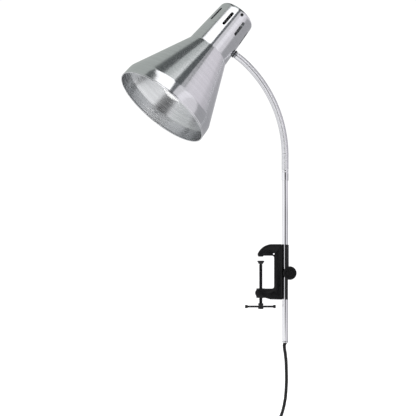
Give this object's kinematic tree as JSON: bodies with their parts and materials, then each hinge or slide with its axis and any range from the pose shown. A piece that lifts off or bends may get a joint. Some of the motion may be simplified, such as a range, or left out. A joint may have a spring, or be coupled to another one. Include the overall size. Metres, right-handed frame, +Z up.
{
  "type": "clip on reading lamp",
  "caption": "Screw-clamp reading lamp: chrome rod and gooseneck from a black clamp to a spun aluminium cone shade with a vented housing.",
  "frame": {"origin": "middle of the fixed jaw pad's lower face, on the clamp screw's axis", "axes": "+Z up along the clamp screw and the rod; +X from the clamp's mouth towards the rod, away from the shade; +Y away from the lock knob's side"},
  "size_m": [0.2616, 0.1542, 0.6713],
  "materials": {
    "cast_black": "fine-textured black paint on a casting",
    "rubber": "matt black rubber",
    "cord_rubber": "smooth black cord sheath",
    "black_plastic": "moulded black, faint sheen",
    "black_steel": "blackened steel",
    "zinc_steel": "zinc-plated steel",
    "chrome": "bright chrome",
    "spun_aluminium": "spun and brushed, clear coated",
    "brass": "plain brass",
    "bulb_glass": "frosted white glass"
  },
  "bodies": {
    "clamp": {"clamp_frame": "cast_black", "jaw_pad": "rubber", "rod_keeper": "cast_black", "keeper_nut": "zinc_steel", "power_cord": "cord_rubber", "switch_cord": "cord_rubber", "plug_cord": "cord_rubber", "cord_coil": "cord_rubber", "coil_tie": "black_plastic", "switch_base": "black_plastic", "switch_cover": "black_plastic", "plug_body": "black_plastic", "plug_pin_left": "brass", "plug_pin_right": "brass"},
    "lock_knob": {"lock_knob": "black_plastic", "knob_stud": "zinc_steel"},
    "screw_pad": {"screw_pad": "black_steel"},
    "clamp_screw": {"clamp_screw": "black_steel"},
    "tommy_bar": {"tommy_bar": "black_steel", "bar_cap_left": "black_steel", "bar_cap_right": "black_steel"},
    "rod_foot": {"cord_grip": "rubber"},
    "rod": {"rod_tube": "chrome", "rod_ferrule": "chrome", "rod_end_bush": "chrome", "lead_in_rod": "cord_rubber", "neck_link_1": "chrome", "neck_lead_1": "cord_rubber"},
    "neck_2": {"neck_link_2": "chrome", "neck_lead_2": "cord_rubber"},
    "neck_3": {"neck_link_3": "chrome", "neck_lead_3": "cord_rubber"},
    "neck_4": {"neck_link_4": "chrome", "neck_lead_4": "cord_rubber"},
    "neck_5": {"neck_link_5": "chrome", "neck_lead_5": "cord_rubber"},
    "neck_6": {"neck_link_6": "chrome", "neck_lead_6": "cord_rubber"},
    "neck_7": {"neck_link_7": "chrome", "neck_lead_7": "cord_rubber"},
    "neck_8": {"neck_link_8": "chrome", "neck_lead_8": "cord_rubber"},
    "neck_9": {"neck_link_9": "chrome", "neck_lead_9": "cord_rubber", "swivel_nipple": "zinc_steel", "swivel_washer": "black_plastic", "swivel_nut": "zinc_steel"},
    "shade": {"shade_shell": "spun_aluminium", "holder_bracket": "zinc_steel", "bracket_screw_1": "black_steel", "bracket_screw_2": "black_steel", "holder_body": "black_plastic", "holder_sleeve": "brass", "centre_contact": "brass", "terminal_block": "black_plastic", "holder_cap": "black_plastic", "holder_stem": "zinc_steel"},
    "bulb": {"bulb_glass": "bulb_glass", "bulb_cap": "zinc_steel"},
    "switch_rocker": {"switch_rocker": "black_plastic"}
  },
  "joints": [
    {"name": "lock_knob_turn", "type": "hinge", "parent": "clamp", "child": "lock_knob", "pos_m": [0.043, 0, -0.0243], "axis": [0, -1, 0], "range_deg": [0, 540]},
    {"name": "screw_pad_lift", "type": "slide", "parent": "clamp", "child": "screw_pad", "axis": [0, 0, 1], "range_m": [-0.0352, 0.0056]},
    {"name": "clamp_screw_turn", "type": "hinge", "parent": "screw_pad", "child": "clamp_screw", "pos_m": [0, 0, -0.04], "axis": [0, 0, 1], "range_deg": [-15840, 2520]},
    {"name": "tommy_bar_slide", "type": "slide", "parent": "clamp_screw", "child": "tommy_bar", "axis": [1, 0, 0], "range_m": [-0.0075, 0.008]},
    {"name": "rod_height", "type": "slide", "parent": "clamp", "child": "rod_foot", "axis": [0, 0, 1], "range_m": [-0.094, 0.06], "deforming": ["power_cord"]},
    {"name": "rod_turn", "type": "hinge", "parent": "rod_foot", "child": "rod", "pos_m": [0.0365, 0, 0], "axis": [0, 0, 1], "range_deg": [-170, 170]},
    {"name": "gooseneck_bend", "type": "hinge", "parent": "rod", "child": "neck_2", "pos_m": [0.0365, 0, 0.142], "axis": [0, -1, 0], "range_deg": [-12.9, 12]},
    {"name": "gooseneck_sway", "type": "hinge", "parent": "neck_2", "child": "neck_3", "pos_m": [0.03591, 0, 0.16629], "axis": [0.9969, 0, 0.0786], "range_deg": [-10, 10]},
    {"name": "neck_bend_3", "type": "hinge", "parent": "neck_3", "child": "neck_4", "pos_m": [0.03247, 0, 0.19033], "axis": [0, -1, 0], "range_deg": [-12.9, 12]},
    {"name": "neck_sway_4", "type": "hinge", "parent": "neck_4", "child": "neck_5", "pos_m": [0.02603, 0, 0.21374], "axis": [0.9455, 0, 0.3257], "range_deg": [-10, 10]},
    {"name": "neck_bend_5", "type": "hinge", "parent": "neck_5", "child": "neck_6", "pos_m": [0.01668, 0, 0.23616], "axis": [0, -1, 0], "range_deg": [-12.9, 12]},
    {"name": "neck_sway_6", "type": "hinge", "parent": "neck_6", "child": "neck_7", "pos_m": [0.00458, 0, 0.25721], "axis": [0.8337, 0, 0.5522], "range_deg": [-10, 10]},
    {"name": "neck_bend_7", "type": "hinge", "parent": "neck_7", "child": "neck_8", "pos_m": [-0.01009, 0, 0.27657], "axis": [0, -1, 0], "range_deg": [-12.9, 12]},
    {"name": "neck_sway_8", "type": "hinge", "parent": "neck_8", "child": "neck_9", "pos_m": [-0.02707, 0, 0.29393], "axis": [0.6689, 0, 0.7434], "range_deg": [-10, 10]},
    {"name": "shade_swivel", "type": "hinge", "parent": "neck_9", "child": "shade", "pos_m": [-0.06586, 0, 0.32467], "axis": [0.7837, 0, -0.6211], "range_deg": [-150, 150]},
    {"name": "bulb_release", "type": "slide", "parent": "shade", "child": "bulb", "axis": [-0.5943, -0.2907, -0.7498], "range_m": [0, 0.035]},
    {"name": "switch_press", "type": "hinge", "parent": "clamp", "child": "switch_rocker", "pos_m": [-0.075, 0, -0.2765], "axis": [0, 1, 0], "range_deg": [0, 20]}
  ],
  "couplings": [
    {"joint": "clamp_screw_turn", "follows": "screw_pad_lift", "rad_per_m": 7854},
    {"joint": "neck_bend_3", "follows": "gooseneck_bend", "ratio": 1},
    {"joint": "neck_sway_4", "follows": "gooseneck_sway", "ratio": 1},
    {"joint": "neck_bend_5", "follows": "gooseneck_bend", "ratio": 1},
    {"joint": "neck_sway_6", "follows": "gooseneck_sway", "ratio": 1},
    {"joint": "neck_bend_7", "follows": "gooseneck_bend", "ratio": 1},
    {"joint": "neck_sway_8", "follows": "gooseneck_sway", "ratio": 1}
  ]
}
